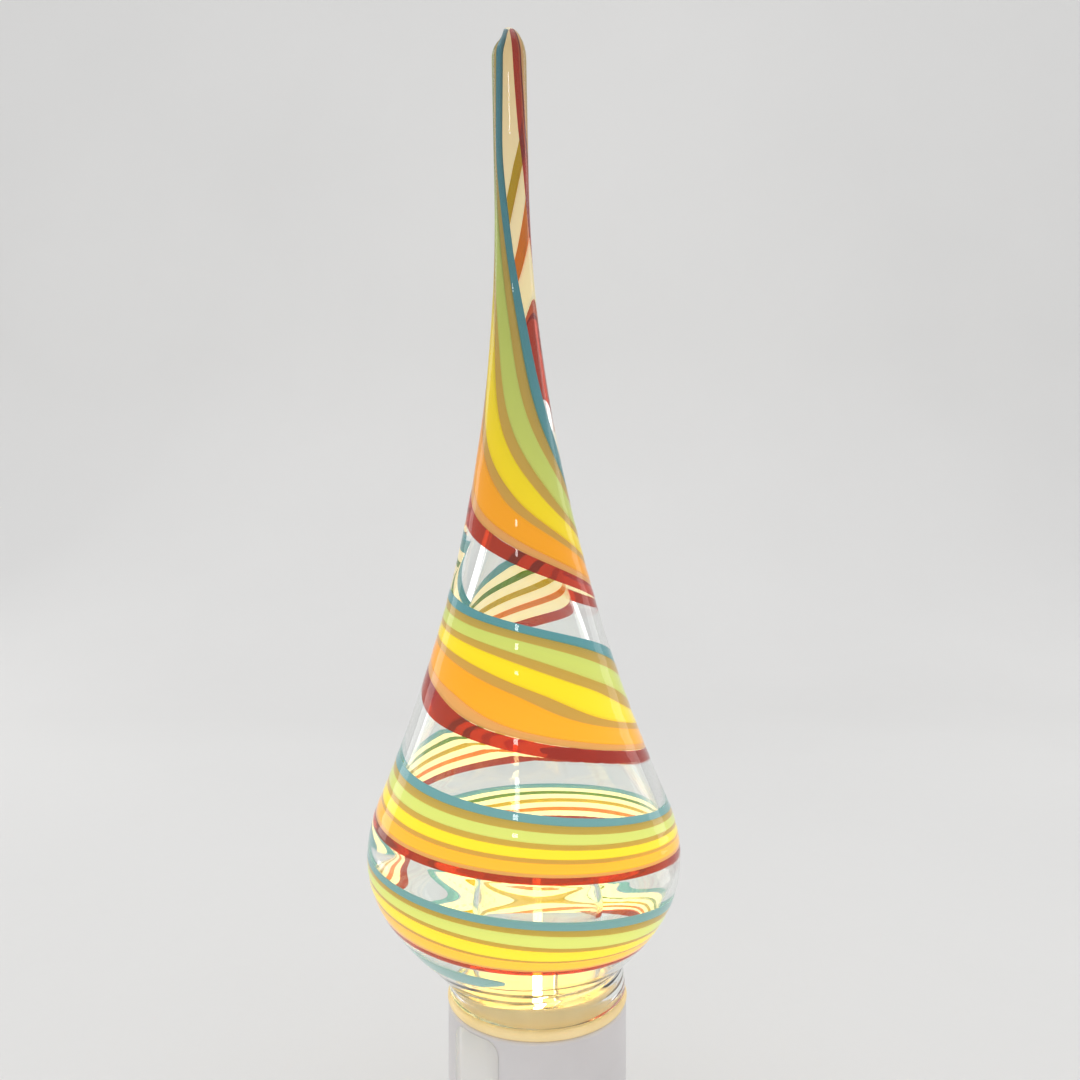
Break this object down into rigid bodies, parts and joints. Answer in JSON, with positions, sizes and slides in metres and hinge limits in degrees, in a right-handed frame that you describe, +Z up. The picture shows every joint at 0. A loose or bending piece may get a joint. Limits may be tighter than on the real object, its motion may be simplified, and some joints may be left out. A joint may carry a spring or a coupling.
{
  "type": "plug-in night light",
  "caption": "Plug-in night light: a striped blown-glass teardrop with a long spire, on a white cylindrical lamp body with a slide switch that swivels on its wall plug.",
  "frame": {"origin": "middle of the plug's face where it meets the wall outlet", "axes": "+Z up along the lamp, +Y into the wall along the plug's blades, -Y is the front, +X right"},
  "size_m": [0.044, 0.0685, 0.1811],
  "materials": {
    "striped_glass": "blown glass with twisted coloured canes, polished",
    "bulb_glass": "clear, polished",
    "white_plastic": "translucent white moulding, satin",
    "plug_plastic": "white moulding, semi-gloss",
    "silicone": "cream translucent silicone",
    "brass": "stamped, bright",
    "steel": "zinc plated",
    "nickel": "nickel plated, satin",
    "phenolic": "fibre board",
    "porcelain": "unglazed",
    "black_glass": "black, glossy",
    "filament": "glowing phosphor strip",
    "circuit_board": "lacquered",
    "switch_plastic": "plain",
    "black_lead": "insulated wire",
    "white_lead": "insulated wire"
  },
  "bodies": {
    "plug": {"plug_body": "plug_plastic", "live_blade": "brass", "neutral_blade": "brass", "swivel_washer": "steel", "swivel_screws": "steel"},
    "lamp": {"lamp_body": "white_plastic", "bottom_cap": "white_plastic", "cap_screws": "steel", "contact_plate": "phenolic", "live_post": "brass", "neutral_ring": "brass", "socket_insulator": "porcelain", "screw_shell": "brass", "centre_contact": "brass", "socket_screws": "steel", "switch_frame": "switch_plastic", "switch_contacts": "brass", "switch_strip": "brass", "live_lead": "black_lead", "neutral_lead": "white_lead", "seat_ring": "silicone"},
    "shade": {"glass_shade": "striped_glass"},
    "bulb": {"bulb_glass": "bulb_glass", "bulb_cap": "nickel", "bulb_insulator": "black_glass", "bulb_tip": "nickel", "bulb_stem": "bulb_glass", "bulb_driver": "circuit_board", "filament": "filament", "filament_wires": "steel"},
    "switch": {"switch_slider": "plug_plastic", "switch_bridge": "brass"}
  },
  "joints": [
    {"name": "swivel", "type": "hinge", "parent": "plug", "child": "lamp", "pos_m": [0, 0, 0], "axis": [0, 1, 0], "range_deg": [-90, 90]},
    {"name": "shade_lift", "type": "slide", "parent": "lamp", "child": "shade", "axis": [0, 0, 1], "range_m": [0, 0.04]},
    {"name": "bulb_turn", "type": "hinge", "parent": "lamp", "child": "bulb", "pos_m": [0, -0.03, 0.02], "axis": [0, 0, 1], "range_deg": [0, 360]},
    {"name": "switch_slide", "type": "slide", "parent": "lamp", "child": "switch", "axis": [0, 0, 1], "range_m": [-0.004, 0]}
  ]
}
